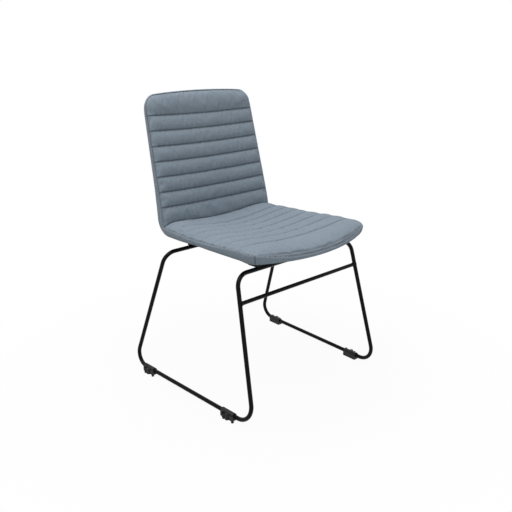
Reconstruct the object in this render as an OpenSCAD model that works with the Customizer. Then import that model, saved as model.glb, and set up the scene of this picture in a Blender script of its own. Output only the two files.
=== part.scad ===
// Sled base visitor chair: an upholstered one-piece shell on a bent rod frame.
// Z is up, the sitter faces -Y, and the origin is on the floor under the middle of the chair.

/* [Seat] */
// Height of the edge seam above the floor at the front corners of the seat
seat_front_h = 470; // [430:1:500]
// How much lower the edge seam is where the seat meets the back
seat_fall = 3; // [0:0.5:12]
// Distance along Y from the front corners to the crease, at the sides
seat_depth = 399; // [360:1:440]
// Distance behind the origin at which the crease ends, at the sides
crease_y = 167; // [140:1:190]
// Width between the edge seams at the front of the seat
seat_front_w = 453; // [400:1:500]
// Width between the edge seams at the crease
crease_w = 421; // [380:1:460]
// How far the front edge bows forward in the middle
front_bow = 35; // [10:1:50]
// Corner radius of the seat, in plan
seat_corner_r = 38; // [30:1:50]
// Depth of the hollow across the seat
seat_dish = 18; // [6:1:26]
// How far the edge seam dips at the front corners
seat_nose_drop = 5; // [0:0.5:8]
// Height of the padded roll along the side edges over that hollow
seat_crown = 15; // [6:1:20]
// Height of the boxing band round the seat
seat_edge_t = 26; // [22:1:34]
// How far the lower edge lies inside the upper edge at the front of the seat
seat_undercut = 6; // [0:0.5:8]
// Sag of the seat's side edges towards the crease
seat_edge_sag = 7.5; // [0:0.5:10]
// Swell of the side edges round the outer bend
bend_edge_sag = 7; // [0:0.5:9]

/* [Back] */
// Distance from the crease to the top of the back, along the back
back_length = 371; // [320:1:420]
// Lean of the back from upright, in degrees
back_lean = 13.7; // [6:0.1:20]
// Width between the edge seams at the top of the back
back_top_w = 390; // [340:1:430]
// How far the top edge rises in the middle
top_bow = 7; // [2:1:14]
// Corner radius at the top of the back
back_corner_r = 30; // [15:1:45]
// Depth of the hollow across the back at the top
back_dish_top = 3; // [1:0.5:8]
// Depth of the hollow across the back at the crease
back_dish_low = 20; // [10:1:26]
// Height of the padded roll along the side edges of the back
back_crown = 5; // [2:0.5:8]
// Edge thickness of the back at the top
back_edge_top_t = 15; // [14.5:0.5:22]
// Edge thickness of the back at the crease
back_edge_low_t = 26; // [20:1:32]
// How much thicker the back is in the middle than at its edges
back_body_t = 10; // [4:1:16]
// Outside radius of the bend between seat and back
shell_bend_r = 46; // [40:1:62]

/* [Channels] */
// Number of seams across the seat, and as many across the back
seam_count = 7; // [3:1:9]
// Distance from the crease to the first seam on the seat
seat_seam_first = 53; // [50:1:65]
// Distance from the front corners to the last seam on the seat
seat_seam_last = 62; // [56:1:80]
// How much wider the channels at the front of the seat are
seat_seam_growth_share = 0.115; // [0:0.005:0.2]
// Distance from the crease to the first seam on the back
back_seam_first = 49; // [46:1:65]
// Distance from the top edge to the last seam on the back
back_seam_last = 57; // [48:1:70]
// How far a channel swells over its seams
channel_puff = 4.5; // [1:0.5:7]
// How far the plain front and top panels swell
panel_puff = 7; // [2:0.5:9]

/* [Shell layers] */
// Thickness of the moulded plywood
ply_t = 8; // [6:0.5:10]
// Thickness of the quilted cover at a seam
quilt_t = 2.4; // [1.5:0.1:3]
// Thickness of the fabric over the back and underside
rear_cover_t = 1.8; // [1:0.1:2.5]
// Thickness of the boxing band
boxing_t = 2.6; // [1.5:0.1:4]
// How far the boxing band swells outward
boxing_puff = 2.2; // [0.5:0.1:4]

/* [Rod frame] */
// Diameter of the bent frame rod
rod_d = 12; // [10:0.5:14]
// Distance between the front bottom corners of the rods, measured on the rod axes
front_track = 516.6; // [460:1:560]
// Distance between the rear bottom corners of the rods
rear_track = 552.4; // [480:1:600]
// Distance from the origin to the bottom corners, fore and aft
runner_reach = 264.6; // [220:1:290]
// Distance between the front top corners of the rods
front_top_w = 455.4; // [420:1:500]
// Distance between the rear top corners of the rods
rear_top_w = 477.6; // [430:1:520]
// Distance of the front crossbar behind the front corners of the seat
front_bar_setback = 63.6; // [55:0.1:80]
// Distance of the rear crossbar ahead of the crease
rear_bar_setback = 36.6; // [25:0.1:50]
// Distance of the front crossbar axis below the edge seam
front_bar_drop = 66.1; // [62:0.1:80]
// Distance of the rear crossbar axis below the edge seam
rear_bar_drop = 75.4; // [70:0.1:90]
// Axis radius of the bends at the seat
top_bend_r = 36; // [24:1:50]
// Axis radius of the front bends at the floor
front_bend_r = 48; // [30:1:56]
// Axis radius of the rear bends at the floor
rear_bend_r = 38; // [24:1:40]
// Diameter of the brace between the front legs
brace_d = 11; // [8:0.5:12]
// Distance of the brace axis below the front crossbar axis
brace_drop = 72.7; // [50:0.1:130]

/* [Mounting tabs] */
// Width of a mounting tab, along its crossbar
tab_w = 54; // [40:1:60]
// Thickness of a mounting tab
tab_t = 5; // [3:0.5:8]
// Distance of a front bolt inward of the edge of the flat underside
front_tab_inset = 13.2; // [11:0.1:40]
// Distance of a rear bolt inward of the edge of the flat underside
rear_tab_inset = 10.8; // [10.5:0.1:40]
// How far a tab runs inward past its crossbar axis
tab_reach = 36; // [32:1:50]
// How far a tab runs outward past its crossbar axis
tab_over = 6; // [2:1:10]
// Distance from a crossbar axis to its bolts
bolt_offset = 22; // [20:1:26]
// Thread diameter of the shell bolts
bolt_d = 6; // [5:1:8]
// Head diameter of the shell bolts
bolt_head_d = 10.5; // [10.5:0.5:14]
// Head height of the shell bolts
bolt_head_h = 3.3; // [2.5:0.1:5]
// Outside diameter of the washers
washer_d = 12.5; // [12:0.5:20]
// Thickness of the washers
washer_t = 1.6; // [1:0.1:2]
// Flange diameter of the tee nuts
tee_flange_d = 19; // [14:1:24]
// Flange thickness of the tee nuts
tee_flange_t = 1.3; // [1:0.1:2]
// Barrel diameter of the tee nuts
tee_barrel_d = 8; // [7.5:0.1:10]
// Leg length of the weld beads
weld_leg = 3; // [2:0.5:5]

/* [Glides] */
// Height of the runner axis above the floor
runner_h = 14; // [12:0.5:18]
// Length of the saddle of a glide
glide_l = 48; // [40:1:52]
// Wall of the saddle round the rod
glide_wall = 2.5; // [2:0.1:4]
// Thickness of the sole plate
sole_t = 3; // [2:0.5:5]
// Distance of the front glides from the front bottom corners
front_glide_setback = 97.6; // [85:0.1:120]
// Distance of the rear glides from the rear bottom corners
rear_glide_setback = 73.6; // [73:0.1:120]
// Diameter of the upright post on a glide
post_d = 8; // [6:0.5:10]
// Height of the post and of the lugs
lug_h = 18.5; // [14:0.5:20]
// Diameter of the solid lug
lug_d = 13; // [10:0.5:16]
// Outside diameter of the open socket
socket_d = 13; // [12.5:0.5:16]
// Bore of the open socket
socket_bore = 8.6; // [8.2:0.1:9.5]
// Thread diameter of the sole screws
screw_d = 4; // [3:0.5:5]

/* [Hidden] */

// Clearance between pieces that are seated on each other
seat_gap = 0.2;
// Clearance between the foam and the quilted covers
foam_gap = 0.4;
// Clearance round pins and bores
bore_gap = 0.3;
// Overrun of every cut past the face it opens
cut_over = 2;
$fn = 48;

rod_r = rod_d / 2;
// Share of the half width over which the underside is flat
flat_share = 0.65;

// Heights and places that hang on the seat, the shell and the runners
seat_rear_h = seat_front_h - seat_fall;
front_bar_h = seat_front_h - front_bar_drop;
rear_bar_h = seat_front_h - rear_bar_drop;
brace_h = front_bar_h - brace_drop;
front_bar_y = seat_depth - crease_y - front_bar_setback;
rear_bar_y = crease_y - rear_bar_setback;
front_tab_x = flat_share * seat_front_w / 2 - front_tab_inset;
rear_tab_x = flat_share * crease_w / 2 - rear_tab_inset;
front_glide_y = runner_reach - front_glide_setback;
rear_glide_y = runner_reach - rear_glide_setback;
// Length and height of the ring that marks the start of a bend
bend_mark_l = 2;
bend_mark_t = 0.05;
// Gap between straight and bend that the ring bridges
bend_mark_gap = bend_mark_l / 8;

// Shares of the sizes that they multiply
tab_corner_share = 0.2;
bolt_head_share = 0.7;
bolt_hex_share = 0.76;
tee_barrel_share = 0.9;
post_out_share = 0.3;
post_along_share = 0.45;
lug_out_share = 0.05;
lug_along_share = 0.1;
socket_out_share = 0.15;
socket_along_share = 0.14;
web_height_share = 0.42;
slot_share = 0.66;
lug_foot_share = 0.3;
screw_sink_share = 0.8;
screw_head_share = 0.5;
screw_tip_share = 0.1;
undercut_share = 0.5;
back_rise_share = 0.17;
// Powers of the curves across and along the shell
flare_power = 2.5;
crown_power = 8;
puff_power = 2.4;
puff_side_power = 10;

// Plain helpers for numbers and points
function mix(a, b, k) = a + (b - a) * k;
function unit(v) = v / norm(v);
function rows(from, to, n) = [for (i = [0:n]) mix(from, to, i / n)];

// The crossbar plane carries the tabs, and the flat underside of the shell lies on them
bar_span = [front_bar_y + rear_bar_y, front_bar_h - rear_bar_h];
bar_tilt = atan2(bar_span[1], bar_span[0]);
bar_mid = [0, (rear_bar_y - front_bar_y) / 2, (front_bar_h + rear_bar_h) / 2];
bar_up = [0, sin(bar_tilt), cos(bar_tilt)];
tab_base = bar_mid + bar_up * (rod_r + seat_gap / 2);
tab_top = tab_base + bar_up * tab_t;
shell_base = tab_top + bar_up * seat_gap;
// Tabs as [x, y along the crossbar plane, direction inward]
tab_places = [[front_tab_x, -norm(bar_span) / 2, 1], [rear_tab_x, norm(bar_span) / 2, -1]];
function underside_z(y) = shell_base[2] - (y - shell_base[1]) * tan(bar_tilt);

// Rod corners of the left side, from the front crossbar round to the rear one
rod_corners = [
    [-seat_gap / 2, -front_bar_y, front_bar_h],
    [-front_top_w / 2, -front_bar_y, front_bar_h],
    [-front_track / 2, -runner_reach, runner_h],
    [-rear_track / 2, runner_reach, runner_h],
    [-rear_top_w / 2, rear_bar_y, rear_bar_h],
    [-seat_gap / 2, rear_bar_y, rear_bar_h]];
rod_bend_radii = [0, top_bend_r, front_bend_r, rear_bend_r, top_bend_r, 0];
runner_yaw = atan2((rear_track - front_track) / 2, 2 * runner_reach);
function runner_x(y) = mix(front_track, rear_track, (y + runner_reach) / (2 * runner_reach)) / 2;

// Unit vectors from corner i to its neighbours, and the tangent length of its bend
function to_prev(i) = unit(rod_corners[i - 1] - rod_corners[i]);
function to_next(i) = unit(rod_corners[i + 1] - rod_corners[i]);
function corner_angle(i) = acos(to_prev(i) * to_next(i));
function tangent(i) = rod_bend_radii[i] == 0 ? 0 : rod_bend_radii[i] / tan(corner_angle(i) / 2);

// Where the brace meets the front legs
brace_k = (front_bar_h - brace_h) / (front_bar_h - runner_h);
brace_y = -mix(front_bar_y, runner_reach, brace_k);
brace_x = mix(front_top_w, front_track, brace_k) / 2;

// Seat and back lines at the side edges, as [y, z]
crease_pt = [crease_y, seat_rear_h];
front_pt = [crease_y - seat_depth, seat_front_h];
back_dir = [sin(back_lean), cos(back_lean)];
back_out = [cos(back_lean), -sin(back_lean)];
seat_dir = unit(front_pt - crease_pt);

// Outer corner of the shell, where the lines under the seat and behind the back would meet
edge_taper = (back_edge_low_t - back_edge_top_t) / back_length;
outer_back_dir = unit(back_dir - back_out * edge_taper);
outer_seat_pt = crease_pt - [0, seat_edge_t];
outer_back_pt = crease_pt + back_out * back_edge_low_t;
function cross2(a, b) = a[0] * b[1] - a[1] * b[0];
outer_k = cross2(outer_seat_pt - outer_back_pt, seat_dir) / cross2(outer_back_dir, seat_dir);
outer_pt = outer_back_pt + outer_back_dir * outer_k;
bend_angle = acos(seat_dir * outer_back_dir);
bend_tan = shell_bend_r / tan(bend_angle / 2);
bend_centre = outer_pt + unit(seat_dir + outer_back_dir) * shell_bend_r / sin(bend_angle / 2);
bend_start = outer_pt + seat_dir * bend_tan;
bend_end = outer_pt + outer_back_dir * bend_tan;

// A place on the shell is [v, u]: v is 0 at the front edge, 1 at the crease and 2 at the top
// edge, and u is -1 at the left side edge and 1 at the right.
seat_bend_v = 1 - (crease_y - bend_start[0]) / seat_depth;
back_bend_v = 1 + (bend_end - crease_pt) * back_dir / back_length;
seat_seams = [for (k = rows(0, 1, seam_count - 1))
    mix(seat_seam_last, seat_depth - seat_seam_first,
        k + seat_seam_growth_share * k * (1 - k)) / seat_depth];
back_seams = [for (k = rows(0, 1, seam_count - 1))
    1 + mix(back_seam_first, back_length - back_seam_last, k) / back_length];
first_seam = seat_seams[0];
last_seam = back_seams[seam_count - 1];

// The corners turn from the side edge until they meet the bowed front and top edges, each of
// which leaves its corner at an angle
corner_lap = boxing_t + 2 * seat_gap;
front_turn = atan(2 * front_bow / (seat_front_w / 2 - seat_corner_r + front_bow / 3));
top_turn = atan(2 * top_bow / (back_top_w / 2 - back_corner_r));
function corner_cos(r, turn, d) = max(0, (r * cos(turn) - d) / r);
function corner_sin(r, turn, d) = sqrt(1 - pow(corner_cos(r, turn, d), 2));
function corner_cut(r, turn, d) = r * (1 - corner_sin(r, turn, d));

// Half width at v, less the rounding of the corners, and less the lap of the boxing band for
// the layers inside it
function half_width(v, lap = 0) = v <= 1
    ? mix(seat_front_w, crease_w, pow(v, flare_power)) / 2 - lap
        - corner_cut(seat_corner_r - lap, front_turn, v * seat_depth - lap * cos(front_turn))
    : mix(crease_w, back_top_w, v - 1) / 2 - lap
        - corner_cut(back_corner_r - lap, top_turn, (2 - v) * back_length - lap * cos(top_turn));

// Depth of the hollow along the shell, as shares of the seat and back depths
seat_dish_shares = [[0, 0.6], [seat_seams[0], 0.3], [seat_seams[round(seam_count / 2) - 1], 0.78],
    [seat_seams[seam_count - 1], 1], [1, 0.72]];
back_dish_fade_share = 3;
function dish(v) = v <= 1 ? seat_dish * lookup(v, seat_dish_shares)
    : mix(back_dish_top, back_dish_low, pow(2 - v, back_dish_fade_share));
function crown(v) = v <= 1 ? seat_crown * min(1, v / first_seam) : back_crown;
// Height over the edge line at u: the side roll less the hollow
function relief(v, u) = crown(v) * (1 - pow(abs(u), crown_power))
    - (dish(v) + crown(v)) * (1 - u * u);

// Setback of the crease in the middle, so that it lies on the back as well as on the seat
function crease_shift(u) = (-relief(1.0001, u) + relief(1, u) * sin(back_lean))
    / cos(back_lean);
function front_fade(v) = max(0, 1 - v / first_seam);

// The side edges sag towards the crease, and swell out round the bend under it
sag_power = 4;
edge_sag_shares = [[0.25, 0], [0.5, 0.65], [0.7, 1], [1, 0.8]];
bend_sag_shares = [[0.55, 0], [0.85, 0.8], [1, 1], [1.15, 0.4], [1.3, 0]];
function edge_sag(v, u) = seat_edge_sag * lookup(v, edge_sag_shares) * pow(abs(u), sag_power);
function bend_sag(v) = bend_edge_sag * lookup(v, bend_sag_shares);
function rear_fade(v) = max(0, 1 - (1 - v) * seat_depth / seat_seam_first);
function top_fade(v) = max(0, (v - last_seam) / (2 - last_seam));

// How far the front and top edges are bowed at a place, which fades out over the end panels
function front_shift(v, u) = front_bow * front_fade(v)
    * max(0, 1 - pow(u * half_width(v) / half_width(0), 2));
function top_shift(v, u) = top_bow * top_fade(v)
    * max(0, 1 - pow(u * half_width(v) / half_width(2), 2));

// Sitting surface at the level of its seams
function upper(v, u) = v <= 1
    ? let (p = mix(front_pt, crease_pt, v))
        [u * half_width(v),
        p[0] - front_shift(v, u) + crease_shift(u) * rear_fade(v),
        p[1] + relief(v, u) - edge_sag(v, u) - seat_nose_drop * u * u * pow(front_fade(v), 2)]
    : let (p = crease_pt + back_dir * ((v - 1) * back_length + top_shift(v, u))
        - back_out * relief(v, u))
        let (low = 1 - min(1, (v - 1) * back_length / back_seam_first),
            q = crease_pt + [crease_shift(u), relief(1, u) - edge_sag(1, u)]
                - (crease_pt - back_out * relief(1.0001, u)))
        [u * half_width(v), p[0] + q[0] * low, p[1] + q[1] * low];

// Edge line of the outside of the shell, with the bend between seat and back
function arc_pt(k) = let (a = unit(mix(bend_start, bend_end, k) - bend_centre))
    bend_centre + a * shell_bend_r;
function outer_edge(v) = v < seat_bend_v ? mix(front_pt - [0, seat_edge_t], bend_start, v / seat_bend_v)
    : v > back_bend_v ? mix(bend_end, crease_pt + back_dir * back_length
        + back_out * back_edge_top_t, (v - back_bend_v) / (2 - back_bend_v))
    : v <= 1 ? arc_pt((v - seat_bend_v) / (1 - seat_bend_v) / 2)
    : arc_pt((1 + (v - 1) / (back_bend_v - 1)) / 2);
function out_dir(v) = v < seat_bend_v ? [0, -1]
    : v > back_bend_v ? back_out
    : unit(mix([0, -1], back_out, (v - seat_bend_v) / (back_bend_v - seat_bend_v)));

// How far the middle of the shell hangs below or behind the outer edge line
function side_rise(u) = abs(u) <= flat_share ? 1
    : (1 + cos(180 * (abs(u) - flat_share) / (1 - flat_share))) / 2;
function front_rise(v) = v >= first_seam ? 1 : (1 - cos(180 * v / first_seam)) / 2;
function under_fade(v) = min(1, front_fade(v) / front_fade(inner_front));
function undercut(v) = seat_undercut * max(0, 1 - v / undercut_share);
function seat_belly(v) = let (e = outer_edge(min(v, seat_bend_v))) e[1] - underside_z(e[0]);
function back_belly(v) = (dish(v) + back_body_t) * sin(90 * min(1, (2 - v) / back_rise_share));
function belly(v) = v <= seat_bend_v ? seat_belly(v) * front_rise(v)
    : v >= back_bend_v ? back_belly(v)
    : mix(seat_belly(seat_bend_v), back_belly(back_bend_v),
        (v - seat_bend_v) / (back_bend_v - seat_bend_v));

// The lower edge along the front hangs a constant height under the edge seam
function front_hang(v, u) = (1 - front_rise(v)) * (seat_nose_drop * u * u - relief(0, u));

// Outside of the shell
function lower(v, u) =
    let (p = outer_edge(v)
        + out_dir(v) * (mix(bend_sag(v), belly(v), side_rise(u)) + front_hang(v, u))
        + back_dir * top_shift(v, u))
    [u * (half_width(v) - undercut(v)), p[0] - front_shift(v, u) + seat_undercut * under_fade(v), p[1]];

// Points at a depth from the outside or from the sitting surface
function from_outside(v, u, d) = let (a = lower(v, u), b = upper(v, u)) a + unit(b - a) * d;
function from_seat(v, u, d) = let (a = lower(v, u), b = upper(v, u)) b + unit(a - b) * d;

// Swell of the channels between their seams, and of the plain panels at both ends
seat_lines = concat([0], seat_seams, [1]);
back_lines = concat([1], back_seams, [2]);
function bay(lines, v) = max([for (i = [0:len(lines) - 2]) if (v >= lines[i]) i]);
function puff(lines, v, u, big_bay) =
    let (i = bay(lines, v),
        k = (v - lines[i]) / (lines[i + 1] - lines[i]),
        h = i == big_bay ? panel_puff : channel_puff)
    h * (1 - pow(abs(2 * k - 1), puff_power)) * (1 - pow(abs(u), puff_side_power));

// Stations across the shell: those of the layers inside the boxing bands, and the same with
// one more at each edge for the covers that lap over the bands
across = [-1, -0.95, -0.87, -0.77, -flat_share, -0.34, 0, 0.34, flat_share, 0.77, 0.87, 0.95, 1];
function inner_u(v, u) = u * half_width(clamp_v(v), corner_lap) / half_width(v);
function inner_columns(v) = [for (u = across) inner_u(v, u)];
function cover_columns(v) = concat([-1], inner_columns(v), [1]);

// Stations along the shell: closer together at the rounded corners, and one at every seam
inner_front = corner_lap / cos(front_turn) / seat_depth;
inner_top = 2 - corner_lap / cos(top_turn) / back_length;
function clamp_v(v) = max(inner_front, min(inner_top, v));
corner_steps = 3;
row_gap_share = 0.004;
front_rows = concat([inner_front], [for (k = [1:corner_steps])
    let (v = seat_corner_r / seat_depth
        * (cos(front_turn) - cos(mix(front_turn, 90, k / corner_steps))))
        if (v > inner_front + row_gap_share) v]);
top_rows = concat([for (k = [corner_steps:-1:1])
    let (v = 2 - back_corner_r / back_length
        * (cos(top_turn) - cos(mix(top_turn, 90, k / corner_steps))))
        if (v < inner_top - row_gap_share) v], [inner_top]);
seat_layer_rows = concat(front_rows, seat_seams, [seat_bend_v, (seat_bend_v + 1) / 2]);
back_layer_rows = concat([(1 + back_bend_v) / 2, back_bend_v], back_seams, top_rows);
layer_rows = concat(seat_layer_rows, [1], back_layer_rows);
cover_rows = concat([0], layer_rows, [2]);

// Rows of the quilted covers, with more inside each channel
channel_rows = 4;
function channel_stations(lines) = [for (i = [0:len(lines) - 2], j = [0:channel_rows - 1])
    mix(lines[i], lines[i + 1], j / channel_rows)];
crease_gap = seat_gap / seat_depth;
front_panel_mid = (front_rows[len(front_rows) - 1] + first_seam) / 2;
top_panel_mid = (top_rows[0] + last_seam) / 2;
seat_rows = concat([0], front_rows, [front_panel_mid],
    channel_stations(concat(seat_seams, [1])), [1 - crease_gap]);
back_rows = concat([1 + crease_gap], [for (v = channel_stations(concat([1], back_seams))) if (v > 1) v],
    [last_seam, top_panel_mid], top_rows, [2]);

// A closed skin between two grids of points with the same rows and columns
module skin(top, bottom) {
    n = len(top);
    m = len(top[0]);
    pts = concat([for (r = top, p = r) p], [for (r = bottom, p = r) p]);
    lo = n * m;
    faces = concat(
        [for (i = [0:n - 2], j = [0:m - 2]) each let (a = i * m + j)
            [[a, a + m + 1, a + 1], [a, a + m, a + m + 1]]],
        [for (i = [0:n - 2], j = [0:m - 2]) each let (a = lo + i * m + j)
            [[a, a + 1, a + m + 1], [a, a + m + 1, a + m]]],
        [for (j = [0:m - 2]) each let (a = j, b = lo + j)
            [[a, a + 1, b + 1], [a, b + 1, b]]],
        [for (j = [0:m - 2]) each let (a = (n - 1) * m + j, b = lo + (n - 1) * m + j)
            [[a, b + 1, a + 1], [a, b, b + 1]]],
        [for (i = [0:n - 2]) each let (a = i * m, b = lo + i * m)
            [[a, b + m, a + m], [a, b, b + m]]],
        [for (i = [0:n - 2]) each let (a = i * m + m - 1, b = lo + i * m + m - 1)
            [[a, a + m, b + m], [a, b + m, b]]]);
    polyhedron(points = pts, faces = faces, convexity = 8);
}

// A band lofted through rings of points, closed at both ends
module band(rings) {
    n = len(rings);
    m = len(rings[0]);
    pts = [for (r = rings, p = r) p];
    faces = concat(
        [for (i = [0:n - 2], j = [0:m - 1]) each let (k = (j + 1) % m)
            [[i * m + j, i * m + k, (i + 1) * m + k], [i * m + j, (i + 1) * m + k, (i + 1) * m + j]]],
        [for (j = [1:m - 2]) [0, j + 1, j]],
        [for (j = [1:m - 2]) let (a = (n - 1) * m) [a, a + j, a + j + 1]]);
    polyhedron(points = pts, faces = faces, convexity = 6);
}

// One straight length of rod between two points
module rod(p, q, d) {
    v = q - p;
    translate(p)
        rotate([0, acos(v[2] / norm(v)), atan2(v[1], v[0])])
            cylinder(h = norm(v), d = d);
}

// One bend of rod at corner i
module rod_bend(i) {
    a = to_prev(i);
    b = to_next(i);
    r = rod_bend_radii[i];
    centre = rod_corners[i] + unit(a + b) * r / sin(corner_angle(i) / 2);
    e1 = unit(rod_corners[i] + a * tangent(i) - centre);
    e2 = unit(rod_corners[i] + b * tangent(i) - centre);
    n = unit(cross(e1, e2));
    s = cross(n, e1);
    translate(centre)
        rotate([atan2(s[2], n[2]), -asin(e1[2]), atan2(e1[1], e1[0])])
            rotate_extrude(angle = 180 - corner_angle(i))
                translate([r, 0])
                    circle(d = rod_d);
}

// A faint ring where a bend begins or ends
module bend_mark(i, dir) {
    mid = rod_corners[i] + dir * tangent(i);
    rod(mid - dir * bend_mark_l / 2, mid + dir * bend_mark_l / 2, rod_d + 2 * bend_mark_t);
}

module sled_rod() {
    difference() {
        union() {
            for (i = [0:4])
                rod(rod_corners[i] + to_next(i) * (i == 0 ? 0 : tangent(i) + bend_mark_gap),
                    rod_corners[i + 1] + to_prev(i + 1) * (i == 4 ? 0 : tangent(i + 1) + bend_mark_gap),
                    rod_d);
            for (i = [1:4]) {
                rod_bend(i);
                bend_mark(i, to_prev(i));
                bend_mark(i, to_next(i));
            }
        }
        for (y = [-front_glide_y, rear_glide_y])
            translate([-runner_x(y), y, 0])
                cylinder(h = runner_h, d = screw_d + bore_gap);
    }
}

module left_sled_rod() {
    color("#17181a")
        sled_rod();
}

module right_sled_rod() {
    color("#17181a")
        mirror([1, 0, 0])
            sled_rod();
}

// Weld collars where the two rods meet in the middle of both crossbars
module crossbar_butt_welds() {
    color("#1b1c1e")
        for (p = [rod_corners[0], rod_corners[5]])
            translate([0, p[1], p[2]])
                rotate([0, 90, 0])
                    rotate_extrude()
                        translate([rod_r, 0])
                            intersection() {
                                circle(d = weld_leg);
                                translate([0, -weld_leg])
                                    square([weld_leg, 2 * weld_leg]);
                            }
}

module leg_rod() {
    rod(rod_corners[1], rod_corners[2], rod_d);
}

module brace_bar(d) {
    rod([-brace_x, brace_y, brace_h], [brace_x, brace_y, brace_h], d);
}

module front_brace() {
    color("#17181a")
        difference() {
            brace_bar(brace_d);
            leg_rod();
            mirror([1, 0, 0])
                leg_rod();
        }
}

// Fillet beads round both ends of the brace
module brace_welds() {
    color("#1b1c1e")
        for (side = [0, 1])
            mirror([side, 0, 0])
                difference() {
                    translate([-brace_x, brace_y, brace_h])
                        rotate([0, 90, 0])
                            cylinder(h = rod_r + weld_leg, d1 = brace_d + 2 * weld_leg,
                                d2 = brace_d + weld_leg / 2);
                    brace_bar(brace_d);
                    leg_rod();
                }
}

// Frame of reference of the tabs: z is off the crossbar plane and y runs aft along it
module on_bars(base) {
    translate(base)
        rotate([-bar_tilt, 0, 0])
            children();
}

// A flat tab with rounded free corners, its crossbar under its outer end, and one bolt hole
module tab() {
    corner = tab_w * tab_corner_share;
    difference() {
        union() {
            translate([-tab_w / 2, -tab_over, 0])
                cube([tab_w, tab_over + tab_reach - corner, tab_t]);
            translate([corner - tab_w / 2, -tab_over, 0])
                cube([tab_w - 2 * corner, tab_over + tab_reach, tab_t]);
            for (x = [-1, 1])
                translate([x * (tab_w / 2 - corner), tab_reach - corner, 0])
                    cylinder(h = tab_t, r = corner);
        }
        translate([0, bolt_offset, -cut_over])
            cylinder(h = tab_t + 2 * cut_over, d = bolt_d + bore_gap);
    }
}

// Both tabs of one crossbar
module tab_pair(place) {
    on_bars(tab_base)
        for (side = [-1, 1])
            translate([side * place[0], place[1], 0])
                rotate([0, 0, place[2] > 0 ? 0 : 180])
                    tab();
}

module front_mounting_tabs() {
    color("#17181a")
        tab_pair(tab_places[0]);
}

module rear_mounting_tabs() {
    color("#17181a")
        tab_pair(tab_places[1]);
}

// Fillet beads along each crossbar under each tab, on the side of the bolt
module tab_welds() {
    color("#1b1c1e")
        on_bars(tab_base)
            for (side = [-1, 1], place = tab_places)
                translate([side * place[0], place[1], 0])
                    rotate([0, 0, place[2] > 0 ? 0 : 180])
                        difference() {
                            translate([weld_leg - tab_w / 2, 0, -weld_leg])
                                cube([tab_w - 2 * weld_leg, rod_r, weld_leg]);
                            translate([-tab_w, 0, -rod_r - seat_gap / 2])
                                rotate([0, 90, 0])
                                    cylinder(h = 2 * tab_w, d = rod_d);
                        }
}

// Places of the shell bolts, in the frame of the tabs
module at_bolts(base) {
    on_bars(base)
        for (side = [-1, 1], place = tab_places)
            translate([side * place[0], place[1] + place[2] * bolt_offset, 0])
                children();
}

bolt_len = tab_t + rear_cover_t + ply_t + washer_t;

module shell_bolts() {
    color("#2a2b2d")
        at_bolts(tab_base - bar_up * washer_t)
            difference() {
                union() {
                    cylinder(h = bolt_len, d = bolt_d);
                    translate([0, 0, -bolt_head_h])
                        cylinder(h = bolt_head_h, d1 = bolt_head_d * bolt_head_share, d2 = bolt_head_d);
                }
                translate([0, 0, -bolt_head_h - cut_over])
                    cylinder(h = cut_over + bolt_head_h / 2, d = bolt_d * bolt_hex_share, $fn = 6);
            }
}

module shell_washers() {
    color("#c9ccd0")
        at_bolts(tab_base - bar_up * washer_t)
            difference() {
                cylinder(h = washer_t, d = washer_d);
                translate([0, 0, -cut_over])
                    cylinder(h = washer_t + 2 * cut_over, d = bolt_d + bore_gap);
            }
}

// Height of the plywood's upper face over the tabs
ply_top = seat_gap + rear_cover_t + seat_gap + ply_t;

module tee_nuts() {
    color("#b9bcc0")
        at_bolts(tab_top)
            difference() {
                union() {
                    translate([0, 0, ply_top + seat_gap])
                        cylinder(h = tee_flange_t, d = tee_flange_d);
                    translate([0, 0, ply_top - ply_t * tee_barrel_share])
                        cylinder(h = ply_t * tee_barrel_share + seat_gap, d = tee_barrel_d);
                }
                translate([0, 0, -cut_over])
                    cylinder(h = ply_top + tee_flange_t + 2 * cut_over, d = bolt_d + bore_gap);
            }
}

module plywood_shell() {
    d = rear_cover_t + seat_gap;
    color("#c79a62")
        difference() {
            skin([for (v = layer_rows) [for (u = inner_columns(v)) from_outside(v, u, d + ply_t)]],
                [for (v = layer_rows) [for (u = inner_columns(v)) from_outside(v, u, d)]]);
            at_bolts(tab_top)
                cylinder(h = ply_top + cut_over, d = tee_barrel_d + bore_gap);
        }
}

// Foam between the plywood and the quilted cover
module foam(list) {
    d = rear_cover_t + ply_t + 2 * seat_gap;
    skin([for (v = list) [for (u = inner_columns(v)) from_seat(v, u, quilt_t + foam_gap)]],
        [for (v = list) [for (u = inner_columns(v)) from_outside(v, u, d)]]);
}

module seat_foam() {
    color("#e6dfc8")
        difference() {
            foam(concat(seat_layer_rows, [1 - crease_gap]));
            at_bolts(tab_top)
                cylinder(h = ply_top + tee_flange_t + 3 * seat_gap, d = tee_flange_d + 2 * bore_gap);
        }
}

module back_foam() {
    color("#e6dfc8")
        foam(concat([1 + crease_gap], back_layer_rows));
}

// Quilted covers: one panel for the seat and one for the back, sewn into channels
module quilted(lines, list, big_bay) {
    skin([for (v = list) [for (u = cover_columns(v)) from_seat(v, u, -puff(lines, v, u, big_bay))]],
        [for (v = list) [for (u = cover_columns(v)) from_seat(v, u, quilt_t)]]);
}

module quilted_seat_cover() {
    color("#8496a6")
        quilted(seat_lines, seat_rows, 0);
}

module quilted_back_cover() {
    color("#6f7f8c")
        quilted(back_lines, back_rows, seam_count);
}

module rear_cover() {
    color("#6b7883")
        difference() {
            skin([for (v = cover_rows) [for (u = cover_columns(v)) from_outside(v, u, rear_cover_t)]],
                [for (v = cover_rows) [for (u = cover_columns(v)) from_outside(v, u, 0)]]);
            at_bolts(tab_top - bar_up * cut_over)
                cylinder(h = cut_over + ply_top, d = bolt_d + 2 * bore_gap);
        }
}

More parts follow.
